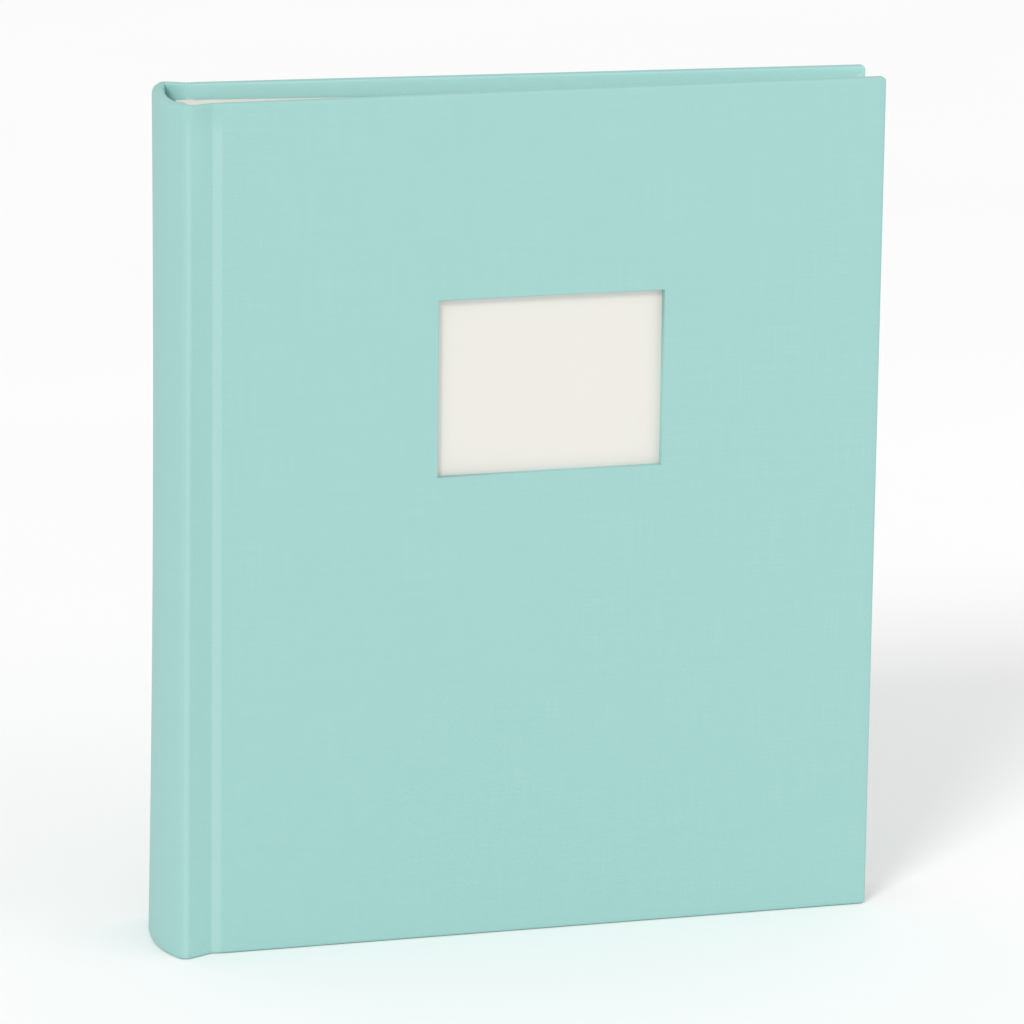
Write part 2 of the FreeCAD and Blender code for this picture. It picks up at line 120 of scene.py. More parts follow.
class AlbumCaseSettings(bpy.types.PropertyGroup):
    """Sizes of the cloth-covered case."""
    cloth: length("Cloth thickness", "Thickness of the book cloth", 0.3 * MM)
    edge_round: length("Edge rounding", "Radius of the cloth over a board's edges", 0.8 * MM)
    corner_round: length("Corner rounding", "Radius of the cover's corners by the fore-edge", 1.3 * MM)
    turn_in: length("Turn-in", "Width of the cloth folded over inside", 15.0 * MM)
    wrap: length("Wrapped thickness", "A board with cloth on both faces", 3.3 * MM)
    joint_wrap: length("Joint thickness", "From the joint's outer face to its turned-in cloth", 2.6 * MM)
    ridge: length("Ridge width", "Width of the slope down from the board to the joint", 2.5 * MM)
    ridge_drop: length("Ridge drop", "How far the cloth sinks from the board to the joint", 0.58 * MM)
    groove: length("Groove width", "From the board's edge to the middle of the joint's groove", 0.3 * MM)
    spine_radius: length("Spine radius", "Radius of the spine's crown", 48.0 * MM)
    shoulder_radius: length("Shoulder radius", "Radius of the spine's shoulders", 2.8 * MM)
    inlay: length("Inlay thickness", "Thickness of the card that stiffens the spine", 2.5 * MM)
    inlay_half: length(
        "Inlay half width", "From the spine's middle to the inlay's edge, along its curve", 20.0 * MM)
    sink_tail: length("Spine sink at the tail", "How far the spine has flattened at its foot", 0.95 * MM)
    sink_head: length("Spine sink at the head", "How far the spine has flattened at its top", 2.1 * MM)
    sink_bow: length("Spine bow", "How much more it has flattened half way up", 0.85 * MM)
    head_dip: length("Head dip", "How far the spine's top has sunk behind", 0.3 * MM)
    head_rise: length("Head rise", "How far the cloth stands up over the back of the crown", 0.9 * MM)
    head_round: length("Head rounding", "Radius of the cloth over the spine's top", 2.1 * MM)
    head_pull: length("Head pull", "How far the front shoulder is drawn in at its top", 1.6 * MM)
    head_lift: length("Head lift", "How far the cloth stands up there", 0.5 * MM)
    window_rim: length("Window rim", "Radius of the cloth over the window's edge", 0.35 * MM)
    window_depth: length("Window depth", "From the cloth's face to the backing card", 2.4 * MM)
    card_margin: length("Card margin", "How far the backing card reaches past the window", 8.8 * MM)
    card_thick: length("Card thickness", "Thickness of the backing card", 0.5 * MM)


class AlbumBlockSettings(bpy.types.PropertyGroup):
    """Sizes of the leaves and papers."""
    leaf: length("Leaf thickness", "Thickness of a card leaf", 0.3 * MM)
    interleaf: length("Interleaf thickness", "Thickness of a translucent interleaf", 0.03 * MM)
    interleaf_gap: length("Interleaf gap", "Gap between a leaf and its interleaf", 0.02 * MM)
    interleaf_inset: length("Interleaf inset", "How much smaller an interleaf is than its leaf", 3.0 * MM)
    paper: length("Endpaper thickness", "Thickness of the endpapers", 0.2 * MM)
    sag: length("Sag", "How far the leaves have sunk at the fore-edge", 2.1 * MM)
    bend_steps: IntProperty(name="Bend steps", description="Faces along a leaf's bend", default=14, min=4)


class AlbumFinishSettings(bpy.types.PropertyGroup):
    """Colours of the materials."""
    cloth: colour("Book cloth", "Colour of the cloth's threads", (0.358, 0.609, 0.576))
    cloth_dark: colour("Shaded cloth", "Colour between the cloth's threads", (0.299, 0.541, 0.509))
    cloth_pale: colour("Cloth slubs", "Colour of the thicker threads", (0.388, 0.622, 0.588))
    # Painted light: the turned-in cloth and the joint's flap are painted paler where they lie in shade.
    cloth_painted_light: colour("Painted light on cloth", "Paler colour painted as light on the cloth inside and the joint", (0.440, 0.760, 0.735))
    # Painted highlight along the joint's ridge and the shoulder.
    cloth_painted_highlight: colour("Painted highlight", "Colour of the highlight painted along the joint", (0.393, 0.614, 0.584))
    card: colour("Window card", "Colour of the backing card", (0.751, 0.729, 0.682))
    leaf: colour("Leaf card", "Colour of the leaves", (0.860, 0.835, 0.785))
    interleaf: colour("Interleaf", "Colour of the translucent interleaves", (0.880, 0.870, 0.830))
    endpaper: colour("Endpaper", "Colour of the endpapers", (0.830, 0.800, 0.730))
    board: colour("Greyboard", "Colour of the boards", (0.330, 0.315, 0.285))
    kraft: colour("Kraft paper", "Colour of the block's lining", (0.420, 0.280, 0.165))
    inlay: colour("Inlay card", "Colour of the card inside the spine", (0.380, 0.345, 0.290))
    mull: colour("Mull", "Colour of the gauze on the block's back", (0.780, 0.760, 0.700))
    floor: colour("Floor", "Colour of the studio floor", (0.975, 0.975, 0.973))


# ------------------------------------------------------------------ materials

class Nodes:
    """A small helper that adds and links the nodes of one material."""

    def __init__(self, name):
        self.material = bpy.data.materials.get(name) or bpy.data.materials.new(name)
        self.material.use_nodes = True
        self.tree = self.material.node_tree
        self.tree.nodes.clear()
        self.shader = self.add("ShaderNodeBsdfPrincipled")
        output = self.add("ShaderNodeOutputMaterial")
        self.link(self.shader.outputs["BSDF"], output.inputs["Surface"])

    def add(self, kind, **values):
        node = self.tree.nodes.new(kind)
        for key, value in values.items():
            setattr(node, key, value)
        return node

    def link(self, a, b):
        self.tree.links.new(a, b)

    def position(self, source="Object"):
        return self.add("ShaderNodeTexCoord").outputs[source]

    def parts(self, vector):
        node = self.add("ShaderNodeSeparateXYZ")
        self.link(vector, node.inputs["Vector"])
        return node.outputs["X"], node.outputs["Y"]

    def mapped(self, vector, scale=(1, 1, 1), turn=0.0):
        node = self.add("ShaderNodeMapping")
        node.inputs["Scale"].default_value = scale
        node.inputs["Rotation"].default_value = (0.0, 0.0, turn)
        self.link(vector, node.inputs["Vector"])
        return node.outputs["Vector"]

    def noise(self, vector, scale, detail=2.0, roughness=0.5):
        node = self.add("ShaderNodeTexNoise")
        node.inputs["Scale"].default_value = scale
        node.inputs["Detail"].default_value = detail
        node.inputs["Roughness"].default_value = roughness
        self.link(vector, node.inputs["Vector"])
        return node.outputs["Fac"]

    def wave(self, vector, scale, direction="X", distortion=0.0, detail_scale=1.0):
        node = self.add("ShaderNodeTexWave", wave_type="BANDS", bands_direction=direction)
        node.inputs["Scale"].default_value = scale
        node.inputs["Distortion"].default_value = distortion
        node.inputs["Detail"].default_value = 1.0
        node.inputs["Detail Scale"].default_value = detail_scale
        self.link(vector, node.inputs["Vector"])
        return node.outputs["Fac"]

    def maths(self, operation, a, b):
        node = self.add("ShaderNodeMath", operation=operation)
        for socket, value in zip(node.inputs, (a, b)):
            if isinstance(value, (int, float)):
                socket.default_value = value
            else:
                self.link(value, socket)
        return node.outputs["Value"]

    def spread(self, value, low, high, to_low=0.0, to_high=1.0):
        node = self.add("ShaderNodeMapRange")
        limits = {"From Min": low, "From Max": high, "To Min": to_low, "To Max": to_high}
        for key, number in limits.items():
            node.inputs[key].default_value = number
        self.link(value, node.inputs["Value"])
        return node.outputs["Result"]

    def mix(self, factor, a, b):
        node = self.add("ShaderNodeMix", data_type="RGBA")
        for key, value in (("Factor", factor), ("A", a), ("B", b)):
            socket = next(i for i in node.inputs if i.name == key and i.type in ("RGBA", "VALUE")
                          and (key == "Factor") == (i.type == "VALUE"))
            if isinstance(value, (int, float)):
                socket.default_value = value
            elif hasattr(value, "is_linked"):
                self.link(value, socket)
            else:
                socket.default_value = (*value, 1.0)
        return next(o for o in node.outputs if o.type == "RGBA")

    def bump(self, height, strength, distance):
        node = self.add("ShaderNodeBump")
        node.inputs["Strength"].default_value = strength
        node.inputs["Distance"].default_value = distance
        self.link(height, node.inputs["Height"])
        self.link(node.outputs["Normal"], self.shader.inputs["Normal"])

    def finish(self, base, roughness, specular=0.3):
        self.link(base, self.shader.inputs["Base Color"])
        if isinstance(roughness, (int, float)):
            self.shader.inputs["Roughness"].default_value = roughness
        else:
            self.link(roughness, self.shader.inputs["Roughness"])
        self.shader.inputs["Specular IOR Level"].default_value = specular
        return self.material


def threads(pitch):
    """The Wave texture's scale for bands this far apart."""
    return math.tau / 20.0 / pitch


def book_cloth(finish, folds, folds_end):
    """Fine plain-woven cloth, with a slanting look and thicker threads here and there.

    A fold is a band of painted light: a painted highlight along the ridge and the shoulder, and paler
    painted light on the joint's flap. The folds fade out up to folds_end, which also keeps them off the
    cloth turned in.
    """
    n = Nodes("book_cloth")
    flat = n.position("UV")
    warp = n.wave(flat, threads(WARP_PITCH), "X", 0.6, 2.0)
    weft = n.wave(flat, threads(WEFT_PITCH), "Y", 0.6, 2.0)
    slant = n.wave(n.mapped(flat, turn=SLANT_TURN), threads(SLANT_PITCH), "X", 0.25, 2.0)
    plain = n.maths("MULTIPLY", n.maths("MULTIPLY", warp, weft), 1 - SLANT_SHARE)
    weave = n.maths("ADD", plain, n.maths("MULTIPLY", slant, SLANT_SHARE))
    upright = n.noise(n.mapped(flat, (1400.0, 38.0, 1.0)), 1.0, 3.0, 0.6)
    across = n.noise(n.mapped(flat, (38.0, 1300.0, 1.0)), 1.0, 3.0, 0.6)
    slubs = n.maths("MULTIPLY", n.maths("ADD", upright, across), 0.5)
    shade = n.mix(n.spread(weave, 0.15, 0.80), finish.cloth_dark, finish.cloth)
    shade = n.mix(n.spread(slubs, 0.50, 0.66, 0.0, 0.30), shade, finish.cloth_pale)
    along, up = n.parts(flat)
    shown = n.spread(up, folds_end, folds_end - 6.0 * MM)
    # Painted light along the joint: a painted highlight on the ridge and the shoulder, paler on the flap.
    for fold in folds:
        away = n.maths("ABSOLUTE", n.maths("SUBTRACT", along, fold.middle), 0.0)
        strength = n.spread(away, fold.half, 0.6 * fold.half, 0.0, fold.amount)
        shade = n.mix(n.maths("MULTIPLY", strength, shown), shade, fold.tint)
    # Painted light: the turned-in cloth is painted paler where it lies in shade between the covers.
    painted_light_inside = n.spread(up, 0.54 * INSIDE_UV, 0.55 * INSIDE_UV, 0.0, 0.55)
    shade = n.mix(painted_light_inside, shade, finish.cloth_painted_light)
    rough = n.spread(weave, 0.0, 1.0, 0.88, 0.80)
    height = n.maths("ADD", weave, n.maths("MULTIPLY", slubs, 0.5))
    n.bump(height, 0.5, 0.06 * MM)
    n.shader.inputs["Sheen Weight"].default_value = 0.06
    n.shader.inputs["Sheen Roughness"].default_value = 0.6
    return n.finish(shade, rough, 0.25)


def fibrous(name, base, dark, grain=1.0, bump=0.15, roughness=0.88):
    """Paper or card: pulp fibres, faint clouding and a soft tooth."""
    n = Nodes(name)
    where = n.position()
    pulp = n.noise(where, 900.0 * grain, 4.0, 0.6)
    cloud = n.noise(where, 45.0, 2.0, 0.5)
    flecks = n.noise(n.mapped(where, (1.0, 1.0, 0.22)), 2600.0 * grain, 1.0, 0.5)
    shade = n.mix(n.spread(pulp, 0.35, 0.68, 0.0, 0.40), base, dark)
    shade = n.mix(n.spread(cloud, 0.35, 0.70, 0.0, 0.25), shade, dark)
    shade = n.mix(n.spread(flecks, 0.62, 0.74, 0.0, 0.30), shade, dark)
    n.bump(pulp, bump, 0.05 * MM)
    return n.finish(shade, n.spread(pulp, 0.3, 0.7, roughness - 0.05, roughness + 0.05), 0.3)


def darker(colour_value, share):
    return tuple(c * share for c in colour_value)


def glassine(finish):
    """Thin smooth paper that lets some light through, with a faint crazed pattern."""
    n = Nodes("glassine")
    where = n.position()
    crazing = n.noise(n.mapped(where, (1.0, 1.0, 0.6)), 160.0, 5.0, 0.65)
    shade = n.mix(n.spread(crazing, 0.40, 0.62), finish.interleaf, darker(finish.interleaf, 0.93))
    n.bump(crazing, 0.2, 0.05 * MM)
    n.shader.inputs["Alpha"].default_value = 0.62
    return n.finish(shade, n.spread(crazing, 0.3, 0.7, 0.32, 0.48), 0.5)


def gauze(finish):
    """Open cotton gauze stiffened with glue."""
    n = Nodes("mull")
    where = n.position()
    scale = threads(GAUZE_PITCH)
    rows = n.maths("MAXIMUM", n.wave(where, scale, "Z", 0.4), n.wave(where, scale, "Y", 0.4))
    shade = n.mix(n.spread(rows, 0.55, 0.85), darker(finish.kraft, 1.1), finish.mull)
    n.bump(rows, 0.5, 0.15 * MM)
    return n.finish(shade, 0.9, 0.2)


def studio_floor(finish):
    n = Nodes("studio_floor")
    grain = n.noise(n.position(), 3.0, 2.0, 0.5)
    return n.finish(n.mix(n.spread(grain, 0.3, 0.7), finish.floor, darker(finish.floor, 0.985)), 0.9, 0.1)


def dress(node, material):
    """Gives a carried-over CAD node its finish."""
    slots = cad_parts[node].data.materials
    slots.clear()
    slots.append(material)


# ------------------------------------------------------------------ shared shapes

class Cover:
    """Where the front cover lies: its outer corner at the joint, its lean, its size and its window."""

    def __init__(self, case):
        low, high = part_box("window_card")
        lean = 0.0
        for _ in range(12):
            lean = math.atan2(
                high.y - low.y - case.card_thick * math.cos(lean),
                high.x - low.x - case.card_thick * math.sin(lean),
            )
        self.lean = lean
        self.along = Vector((math.cos(lean), math.sin(lean), 0.0))
        self.inward = Vector((-math.sin(lean), math.cos(lean), 0.0))
        cloth_low, cloth_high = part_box("front_cloth")
        hinge_x = cloth_low.x + case.wrap * math.sin(lean)
        self.long = (cloth_high.x - hinge_x) / math.cos(lean)
        hinge_y = cloth_high.y - self.long * math.sin(lean) - case.wrap * math.cos(lean)
        self.corner = Vector((hinge_x, hinge_y, 0.0))
        self.high = cloth_high.z - cloth_low.z
        middle = (low + high) / 2 - self.corner
        self.window_u = middle.dot(self.along)
        self.window_z = (low.z + high.z) / 2
        card_long = (high.x - low.x - case.card_thick * math.sin(lean)) / math.cos(lean)
        self.window_half = (card_long / 2 - case.card_margin, (high.z - low.z) / 2 - case.card_margin)

    def matrix(self):
        m = Matrix.Identity(4)
        m.col[0][:3], m.col[1][:3], m.col[3][:3] = self.along, self.inward, self.corner
        return m

    def at(self, u, depth):
        return self.corner + self.along * u + self.inward * depth


def new_piece(name, bm, material):
    mesh = bpy.data.meshes.new(name)
    bm.to_mesh(mesh)
    bm.free()
    mesh.materials.append(material)
    piece = bpy.data.objects.new(name, mesh)
    bpy.context.scene.collection.objects.link(piece)
    return piece


def near(a, b, slack=1e-5):
    return abs(a - b) < slack


def cut(bm, geometry, place, normal):
    return bmesh.ops.bisect_plane(
        bm, geom=list(geometry), dist=1e-7, plane_co=place, plane_no=normal
    )["geom_cut"]


def everything(bm):
    return bm.verts[:] + bm.edges[:] + bm.faces[:]


def facing(angle):
    """The level direction at this angle from X."""
    return Vector((math.cos(angle), math.sin(angle), 0.0))


def edges_of(faces):
    return list({e for f in faces for e in f.edges})


def faces_where(bm, test):
    return [f for f in bm.faces if test(f.calc_center_median(), f.normal)]


# ------------------------------------------------------------------ the case's cloth

def board_wrap(bm, cover, case, windowed):
    """Cloth round one board, in the cover's own directions: X along it, Y inwards, Z up."""
    long, wrap, high, start = cover.long, case.wrap, cover.high, case.ridge
    block = bmesh.ops.create_cube(bm, size=1.0)["verts"]
    bmesh.ops.scale(bm, vec=(long - start, wrap, high), verts=block)
    bmesh.ops.translate(bm, vec=((long + start) / 2, wrap / 2, high / 2), verts=block)

    def bevel(edges, radius, segments):
        bmesh.ops.bevel(bm, geom=edges, offset=radius, segments=segments, profile=0.5,
                        affect="EDGES", material=-1)

    bevel([e for e in bm.edges if all(near(v.co.x, long) for v in e.verts)
           and near(e.verts[0].co.z, e.verts[1].co.z)], case.corner_round, 5)
    rim = [e for e in bm.edges if not all(near(v.co.x, start) for v in e.verts)
           and (all(near(v.co.y, 0.0) for v in e.verts) or all(near(v.co.y, wrap) for v in e.verts))]
    bevel(rim, case.edge_round, 4)

    flat = 1.7 * max(case.edge_round, case.corner_round)
    fore_in, turn = long - case.turn_in, case.turn_in
    for place in (long - flat, fore_in):
        cut(bm, everything(bm), (place, 0, 0), (1, 0, 0))
    for place in (flat, turn, high - turn, high - flat):
        cut(bm, everything(bm), (0, 0, place), (0, 0, 1))
    inside = lambda c, n: n.y > 0.99 and c.x < fore_in and turn < c.z < high - turn
    cap = lambda c, n: n.x < -0.99 and near(c.x, start)
    bmesh.ops.delete(bm, geom=faces_where(bm, inside) + faces_where(bm, cap), context="FACES")
    mitre_corners(bm, case, long, high)
    if windowed:
        window_opening(bm, cover, case)


def mitre_corners(bm, case, long, high):
    """The diagonal lines where the turn-ins meet at the two fore-edge corners, as shallow valleys."""
    for z, up in ((0.0, 1.0), (high, -1.0)):
        reach = case.turn_in
        for shift in (-MITRE_HALF, 0.0, MITRE_HALF):
            inner = faces_where(
                bm, lambda c, n: n.y > 0.99 and c.x > long - reach and abs(c.z - z) < reach)
            cut(bm, inner + edges_of(inner), (long + shift, 0, z), (1, 0, up))
        valley = [v for v in bm.verts if near(v.co.y, case.wrap, 2e-6)
                  and near(long - v.co.x, abs(v.co.z - z), 2e-6)
                  and case.edge_round * 1.2 < long - v.co.x < reach + 1e-6]
        bmesh.ops.translate(bm, vec=(0, -MITRE_DEPTH, 0), verts=valley)


def window_opening(bm, cover, case):
    """Cuts the window, turns the cloth in through it and rounds its rim."""
    half_u, half_z = cover.window_half
    u0, u1 = cover.window_u - half_u, cover.window_u + half_u
    z0, z1 = cover.window_z - half_z, cover.window_z + half_z
    rim = case.window_rim
    for place in (u0 - 3 * rim, u0, u1, u1 + 3 * rim):
        outer = faces_where(bm, lambda c, n: n.y < -0.99)
        cut(bm, outer + edges_of(outer), (place, 0, 0), (1, 0, 0))
    for place in (z0 - 3 * rim, z0, z1, z1 + 3 * rim):
        outer = faces_where(bm, lambda c, n: n.y < -0.99)
        cut(bm, outer + edges_of(outer), (0, 0, place), (0, 0, 1))
    hole = faces_where(bm, lambda c, n: n.y < -0.99 and u0 < c.x < u1 and z0 < c.z < z1)
    bmesh.ops.delete(bm, geom=hole, context="FACES")
    edge = [e for e in bm.edges if e.is_boundary and all(
        near(v.co.y, 0.0) and u0 - 1e-5 < v.co.x < u1 + 1e-5 and z0 - 1e-5 < v.co.z < z1 + 1e-5
        for v in e.verts)]
    walls = bmesh.ops.extrude_edge_only(bm, edges=edge)["geom"]
    deep = [g for g in walls if isinstance(g, bmesh.types.BMVert)]
    bmesh.ops.translate(bm, vec=(0, case.window_depth, 0), verts=deep)
    bmesh.ops.bevel(bm, geom=edge, offset=rim, segments=3, profile=0.5, affect="EDGES", material=-1)


def joint_path(cover, case):
    """Stations from the ridge to the crown, seen from above: (point, wrapped thickness, way inwards)."""
    spine_low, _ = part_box("spine_cloth")
    centre = Vector((spine_low.x + case.spine_radius, 0.0, 0.0))
    shoulder_y = -spine_low.y - case.shoulder_radius
    shoulder = Vector((
        centre.x - math.sqrt((case.spine_radius - case.shoulder_radius) ** 2 - shoulder_y ** 2),
        -shoulder_y, 0.0))
    slope_in, slope_out = 0.5 * MM, 0.35 * MM
    facet = [
        (case.ridge - slope_in, slope_in / 2 * case.ridge_drop / case.ridge),
        (case.ridge / 2, case.ridge_drop / 2),
        (slope_out, case.ridge_drop * (1 - slope_out / case.ridge)),
        (0.0, case.ridge_drop * 0.97),
        (-case.groove / 2, case.ridge_drop * 1.02),
        (-case.groove, case.ridge_drop),
    ]
    stations = [(cover.at(u, drop), case.wrap - drop, cover.inward) for u, drop in facet]
    groove = stations[-1][0]
    reach = shoulder - groove
    slope = math.atan2(reach.y, reach.x) + math.asin(case.shoulder_radius / reach.length)
    flap = facing(slope)
    outward = Vector((-flap.y, flap.x, 0.0))
    if outward.y > 0:
        outward = -outward
    touch = shoulder + outward * case.shoulder_radius
    bend_wrap = 0.85 * case.shoulder_radius
    for i in range(1, FLAP_STEPS):
        t = i / FLAP_STEPS
        wrap = case.joint_wrap + (bend_wrap - case.joint_wrap) * t
        stations.append((groove.lerp(touch, t), wrap, -outward))
    crown_way = (shoulder - centre).normalized()
    first, last = math.atan2(outward.y, outward.x), math.atan2(crown_way.y, crown_way.x)
    if last > first:
        last -= math.tau
    for i in range(SHOULDER_STEPS + 1):
        way = facing(first + (last - first) * i / SHOULDER_STEPS)
        stations.append((shoulder + case.shoulder_radius * way, bend_wrap, -way))
    begin, end = math.atan2(crown_way.y, crown_way.x), -math.pi
    if begin > 0:
        begin -= math.tau
    for i in range(1, CROWN_STEPS + 1):
        way = facing(begin + (end - begin) * i / CROWN_STEPS)
        wrap = bend_wrap + (case.wrap - bend_wrap) * min(1.0, i / 3)
        stations.append((centre + case.spine_radius * way, wrap, -way))
    return stations


def sweep_to_spine(bm, cover, case):
    """Carries the cloth on from the board, over the joint and the shoulder, to the spine's middle."""
    depth = bm.verts.layers.float["depth"]
    run = bm.verts.layers.float["run"]
    edges = [e for e in bm.edges if e.is_boundary and all(near(v[run], case.ridge) for v in e.verts)]
    stations = joint_path(cover, case)
    total, before = case.ridge, cover.at(case.ridge, 0)
    for point, wrap, inward in stations:
        total -= (point - before).length
        before = point
        grown = bmesh.ops.extrude_edge_only(bm, edges=edges)["geom"]
        edges = [g for g in grown if isinstance(g, bmesh.types.BMEdge)]
        for v in {v for e in edges for v in e.verts}:
            v.co = Vector((0, 0, v.co.z)) + point + inward * (v[depth] / case.wrap * wrap)
            v[run] = total


def round_the_head(bm, case, high):
    """Gives the cloth over the spine's top a larger radius than the boards' edges have."""
    depth = bm.verts.layers.float["depth"]
    run = bm.verts.layers.float["run"]
    middle = min(v[run] for v in bm.verts)
    outer = [v for v in bm.verts if v[run] < 0 and v[depth] < case.edge_round + 1e-6]
    inner = {round(v[run], 6): v for v in bm.verts if near(v[depth], case.wrap, 1e-6)}
    for v in outer:
        below, from_middle = high - v.co.z, v[run] - middle
        if below > case.turn_in - 1e-6:
            continue
        grow = (case.head_round / case.edge_round - 1) * fade(from_middle, *ROUNDED)
        behind = inner[min(inner, key=lambda at: abs(at - v[run]))]
        way = (Vector((behind.co.x, behind.co.y, 0)) - Vector((v.co.x, v.co.y, 0))).normalized()
        v.co += way * v[depth] * grow
        lowering = min(below, case.edge_round) * (case.turn_in - below) / case.turn_in
        v.co.z -= lowering * grow


def fade(value, full, none):
    """1 at full and 0 at none, smooth between them."""
    x = min(1.0, max(0.0, (none - value) / (none - full)))
    return x * x * (3 - 2 * x)


def settle(case, high, place, from_middle):
    """How far the spine has moved as it flattened: most above half way up, and on the back cover's side."""
    share = place.z / high
    sink = (case.sink_tail + (case.sink_head - case.sink_tail) * share
            + 4 * case.sink_bow * share * (1 - share))
    behind = fade(place.y, *BEHIND)
    sunk = fade(from_middle, *SUNK)
    near_top = fade(place.z, high - case.turn_in, high - 2 * case.turn_in)
    in_front = FRONT_SHARE * share
    pull = near_top * (1 - behind) * fade(from_middle, *PULLED) * sunk
    rise = case.head_rise * fade(from_middle, *RISEN) - case.head_dip * sunk
    return Vector((
        sink * sunk * (in_front + (1 - in_front) * behind),
        case.head_pull * pull,
        case.head_lift * pull + rise * near_top * behind))


def settle_cloth(bm, case, high):
    """Divides the spine's cloth into bands up its height, and lets it settle."""
    run = bm.verts.layers.float["run"]
    middle = min(v[run] for v in bm.verts)
    for i in range(1, BANDS):
        spine = [f for f in bm.faces if max(v[run] for v in f.verts) < 1e-6]
        cut(bm, list({v for f in spine for v in f.verts}) + edges_of(spine) + spine,
            (0, 0, high * i / BANDS), (0, 0, 1))
    for v in bm.verts:
        if v[run] < 0:
            v.co += settle(case, high, v.co, v[run] - middle)


def lay_out_uv(bm, high):
    """The cloth's own directions: along the case, and up; the turned-in cloth lies further up the map."""
    uv = bm.loops.layers.uv.new("flat")
    depth, run = bm.verts.layers.float["depth"], bm.verts.layers.float["run"]
    for face in bm.faces:
        runs = [v[run] for v in face.verts]
        depths = [v[depth] for v in face.verts]
        heights = [v.co.z for v in face.verts]
        wide, deep, tall = (max(a) - min(a) for a in (runs, depths, heights))
        inside = INSIDE_UV if min(depths) > INSIDE_DEPTH else 0.0
        for loop in face.loops:
            v = loop.vert
            if deep <= min(wide, tall) or deep < 1e-6:
                loop[uv].uv = (v[run], v.co.z + inside)
            elif tall <= wide:
                loop[uv].uv = (v[run], v.co.z + (v[depth] if v.co.z > high / 2 else -v[depth]))
            else:
                loop[uv].uv = (v[run] + v[depth], v.co.z)


def case_cloth(name, side, material):
    """One half of the case's cloth, from the fore-edge to the middle of the spine."""
    case = bpy.context.scene.album_case
    cover = Cover(case)
    bm = bmesh.new()
    board_wrap(bm, cover, case, side == "front")
    depth = bm.verts.layers.float.new("depth")
    run = bm.verts.layers.float.new("run")
    for v in bm.verts:
        v[depth], v[run] = v.co.y, v.co.x
    bmesh.ops.transform(bm, matrix=cover.matrix(), verts=bm.verts)
    sweep_to_spine(bm, cover, case)
    lay_out_uv(bm, cover.high)
    round_the_head(bm, case, cover.high)
    if side == "back":
        bmesh.ops.scale(bm, vec=(1, -1, 1), verts=bm.verts)
    bmesh.ops.recalc_face_normals(bm, faces=bm.faces)
    board_face = max(bm.faces, key=lambda f: f.calc_area())
    if (board_face.normal.y > 0) == (side == "front"):
        bmesh.ops.reverse_faces(bm, faces=bm.faces)
    settle_cloth(bm, case, cover.high)
    for face in bm.faces:
        face.smooth = True
    for edge in bm.edges:
        edge.smooth = not edge.is_boundary
    piece = new_piece(name, bm, material)
    shell = piece.modifiers.new("thickness", "SOLIDIFY")
    shell.thickness = case.cloth
    shell.offset = -1.0
    return piece, cover


def spine_inlay(name, material):
    """The card inside the spine, bent round its crown and settled with the cloth."""
    case = bpy.context.scene.album_case
    low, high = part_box("spine_cloth")
    centre = Vector((low.x + case.spine_radius, 0.0, 0.0))
    skin = 1.2 * case.cloth
    bm = bmesh.new()
    block = bmesh.ops.create_cube(bm, size=1.0)["verts"]
    foot, top = low.z + skin, high.z - skin - case.head_round
    bmesh.ops.scale(bm, vec=(case.inlay, 2 * case.inlay_half, top - foot), verts=block)
    bmesh.ops.translate(bm, vec=(skin + case.inlay / 2, 0, (foot + top) / 2), verts=block)
    columns = 24
    for i in range(1, columns):
        cut(bm, everything(bm), (0, case.inlay_half * (2 * i / columns - 1), 0), (0, 1, 0))
    for i in range(1, BANDS):
        cut(bm, everything(bm), (0, 0, high.z * i / BANDS), (0, 0, 1))
    for v in bm.verts:
        from_middle, radius = v.co.y, case.spine_radius - v.co.x
        turn = from_middle / case.spine_radius
        v.co = centre + Vector((-radius * math.cos(turn), radius * math.sin(turn), v.co.z))
        v.co += settle(case, high.z, v.co, abs(from_middle))
    return new_piece(name, bm, material)


# ------------------------------------------------------------------ leaves and papers

def strip_between(name, material, start, end, low, high, thick, stops, sag):
    """A thin upright sheet from start to end, seen from above, with extra lines across it at the stops.

    It hangs down towards its end, by the sag there.
    """
    way = (end - start).normalized()
    side = Vector((-way.y, way.x, 0.0))
    bm = bmesh.new()
    block = bmesh.ops.create_cube(bm, size=1.0)["verts"]
    bmesh.ops.scale(bm, vec=((end - start).length, thick, high - low), verts=block)
    bmesh.ops.translate(bm, vec=((end - start).length / 2, 0, (low + high) / 2), verts=block)
    for stop in stops:
        cut(bm, everything(bm), (stop, 0, 0), (1, 0, 0))
    for v in bm.verts:
        v.co.z -= sag * v.co.x / (end - start).length
    m = Matrix.Identity(4)
    m.col[0][:3], m.col[1][:3], m.col[3][:3] = way, side, start
    bmesh.ops.transform(bm, matrix=m, verts=bm.verts)
    return new_piece(name, bm, material)


def centre_line(node, thick):
    """The two ends, seen from above, of the middle of a thin upright CAD sheet."""
    points = [v.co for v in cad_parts[node].data.vertices]
    low_x, high_x = min(p.x for p in points), max(p.x for p in points)
    first = [p for p in points if p.x < low_x + thick]
    last = [p for p in points if p.x > high_x - thick]
    front_first, front_last = min(p.y for p in first), min(p.y for p in last)
    a = Vector((low_x, front_first, 0.0))
    b = Vector((high_x, front_last, 0.0))
    way = (b - a).normalized()
    side = Vector((-way.y, way.x, 0.0))
    return a + side * thick / 2, b + side * thick / 2


def carried_back(start, end, x):
    """The point on the line through start and end at this x."""
    share = (x - start.x) / (end.x - start.x)
    return start.lerp(end, share)


def bend_stops(start, bend_low, bend_high, steps):
    """Distances from the sheet's bound edge to the lines across its bend."""
    first, last = bend_low - start.x, bend_high - start.x
    return [first + (last - first) * i / steps for i in range(steps + 1)]


